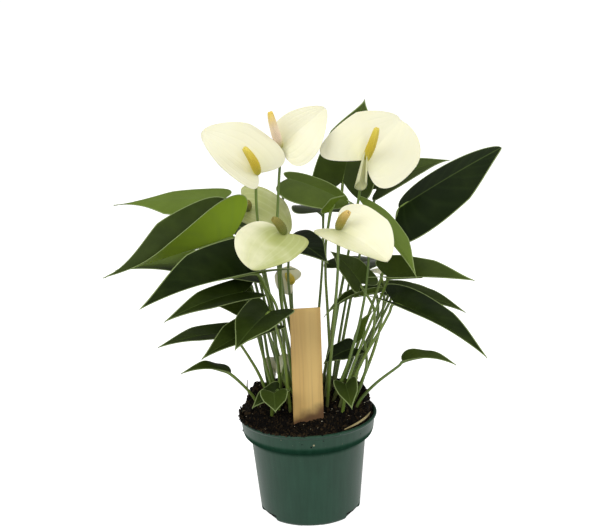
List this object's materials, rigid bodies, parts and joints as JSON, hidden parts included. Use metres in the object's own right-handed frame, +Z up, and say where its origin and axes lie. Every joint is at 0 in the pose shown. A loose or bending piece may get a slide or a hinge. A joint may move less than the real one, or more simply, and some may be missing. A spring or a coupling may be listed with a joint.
{
  "type": "potted anthurium",
  "caption": "Flowering anthurium with pale heart-shaped spathes and glossy green leaves, growing in soil in a round plastic nursery pot with a bare wooden label.",
  "frame": {"origin": "centre of the pot's underside, on the surface the pot stands on", "axes": "+Z up the plant, +X to the right and -Y towards the viewer as the picture shows it"},
  "size_m": [0.3375, 0.2707, 0.3593],
  "materials": {
    "pot": "satin",
    "soil": "matt, crumbly",
    "label": "bare, sanded",
    "leaf": "glossy",
    "stem": "satin",
    "spathe": "satin, waxy",
    "spadix": "fine bumps"
  },
  "bodies": {
    "root": {"bloom_front_left_spadix": "spadix", "bloom_front_left_spathe": "spathe", "bloom_front_left_stem": "stem", "bloom_front_right_spadix": "spadix", "bloom_front_right_spathe": "spathe", "bloom_front_right_stem": "stem", "bloom_green_spadix": "spadix", "bloom_green_spathe": "spathe", "bloom_green_stem": "stem", "bloom_left_spadix": "spadix", "bloom_left_spathe": "spathe", "bloom_left_stem": "stem", "bloom_rear_low_spadix": "spadix", "bloom_rear_low_spathe": "spathe", "bloom_rear_low_stem": "stem", "bloom_right_spadix": "spadix", "bloom_right_spathe": "spathe", "bloom_right_stem": "stem", "bloom_top_spadix": "spadix", "bloom_top_spathe": "spathe", "bloom_top_stem": "stem", "bud_low_left": "spathe", "bud_low_middle": "spathe", "bud_low_right": "spathe", "bud_right": "spathe", "label": "label", "leaf_back_middle": "leaf", "leaf_back_top": "leaf", "leaf_centre_dark": "leaf", "leaf_centre_low": "leaf", "leaf_centre_rolled": "leaf", "leaf_front_left": "leaf", "leaf_ground_heart": "leaf", "leaf_ground_left": "leaf", "leaf_ground_right": "leaf", "leaf_left_behind": "leaf", "leaf_left_dark": "leaf", "leaf_left_folded": "leaf", "leaf_left_hanging": "leaf", "leaf_left_inner": "leaf", "leaf_left_low": "leaf", "leaf_left_small": "leaf", "leaf_left_top": "leaf", "leaf_left_under": "leaf", "leaf_rear": "leaf", "leaf_rear_left": "leaf", "leaf_rear_right": "leaf", "leaf_right_back": "leaf", "leaf_right_folded": "leaf", "leaf_right_front": "leaf", "leaf_right_large": "leaf", "leaf_right_low": "leaf", "leaf_right_middle": "leaf", "leaf_right_small": "leaf", "leaf_right_top": "leaf", "leaf_right_under": "leaf", "leaf_young_rolled": "leaf", "leaf_young_tall": "leaf", "pot": "pot", "soil": "soil"}
  },
  "joints": []
}
